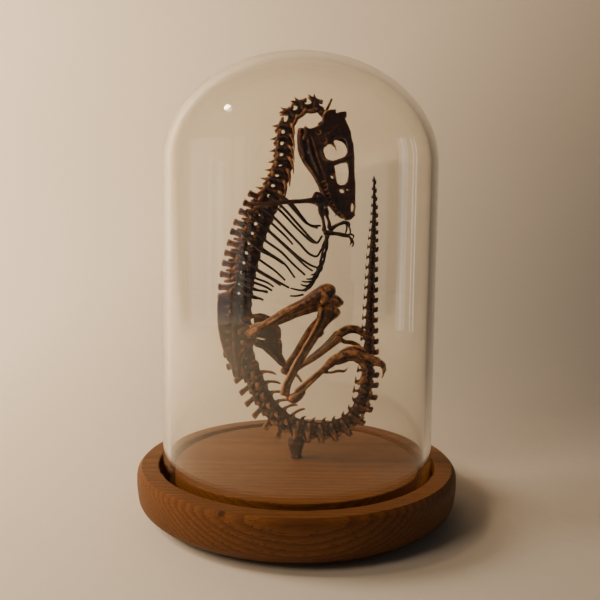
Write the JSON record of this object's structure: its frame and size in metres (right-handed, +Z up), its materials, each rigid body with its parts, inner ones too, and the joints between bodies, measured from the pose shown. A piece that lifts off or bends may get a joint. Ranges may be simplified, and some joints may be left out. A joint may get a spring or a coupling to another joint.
{
  "type": "bell jar dome",
  "caption": "Clear glass bell jar that drops into the groove of a turned wooden base, over a small mounted dinosaur skeleton on a peg.",
  "frame": {"origin": "centre of the underside, on the felt pad", "axes": "+Z up through the dome's axis; the skeleton lies in the XZ plane with its head and toes towards +X"},
  "size_m": [0.142, 0.142, 0.1991],
  "materials": {
    "dome_glass": "clear, fire-polished soda-lime glass",
    "turned_wood": "satin oiled hardwood with visible grain",
    "felt": "pressed wool felt",
    "bone_resin": "cast resin, umber stain with worn orange highlights, semi-gloss varnish"
  },
  "bodies": {
    "base": {"wooden_base": "turned_wood", "base_felt": "felt", "mounting_peg": "bone_resin", "back_front": "bone_resin", "back_middle": "bone_resin", "back_rear": "bone_resin", "belly_ribs": "bone_resin", "foot_left": "bone_resin", "foot_right": "bone_resin", "forearm_left": "bone_resin", "forearm_right": "bone_resin", "hand_left": "bone_resin", "hand_right": "bone_resin", "hip_vertebrae": "bone_resin", "ilium_left": "bone_resin", "ilium_right": "bone_resin", "instep_left": "bone_resin", "instep_right": "bone_resin", "ischium": "bone_resin", "lower_jaw": "bone_resin", "neck_front": "bone_resin", "neck_rear": "bone_resin", "pubis": "bone_resin", "rib_left_01": "bone_resin", "rib_left_02": "bone_resin", "rib_left_03": "bone_resin", "rib_left_04": "bone_resin", "rib_left_05": "bone_resin", "rib_left_06": "bone_resin", "rib_left_07": "bone_resin", "rib_left_08": "bone_resin", "rib_left_09": "bone_resin", "rib_left_10": "bone_resin", "rib_right_01": "bone_resin", "rib_right_02": "bone_resin", "rib_right_03": "bone_resin", "rib_right_04": "bone_resin", "rib_right_05": "bone_resin", "rib_right_06": "bone_resin", "rib_right_07": "bone_resin", "rib_right_08": "bone_resin", "rib_right_09": "bone_resin", "rib_right_10": "bone_resin", "shin_left": "bone_resin", "shin_right": "bone_resin", "shoulder_blade_left": "bone_resin", "shoulder_blade_right": "bone_resin", "skull": "bone_resin", "tail_bend": "bone_resin", "tail_rise": "bone_resin", "tail_root": "bone_resin", "tail_tip": "bone_resin", "tail_upper": "bone_resin", "thigh_left": "bone_resin", "thigh_right": "bone_resin", "upper_arm_left": "bone_resin", "upper_arm_right": "bone_resin"},
    "dome": {"glass_dome": "dome_glass"}
  },
  "joints": [
    {"name": "dome_lift", "type": "slide", "parent": "base", "child": "dome", "axis": [0, 0, 1], "range_m": [0, 0.2]}
  ]
}
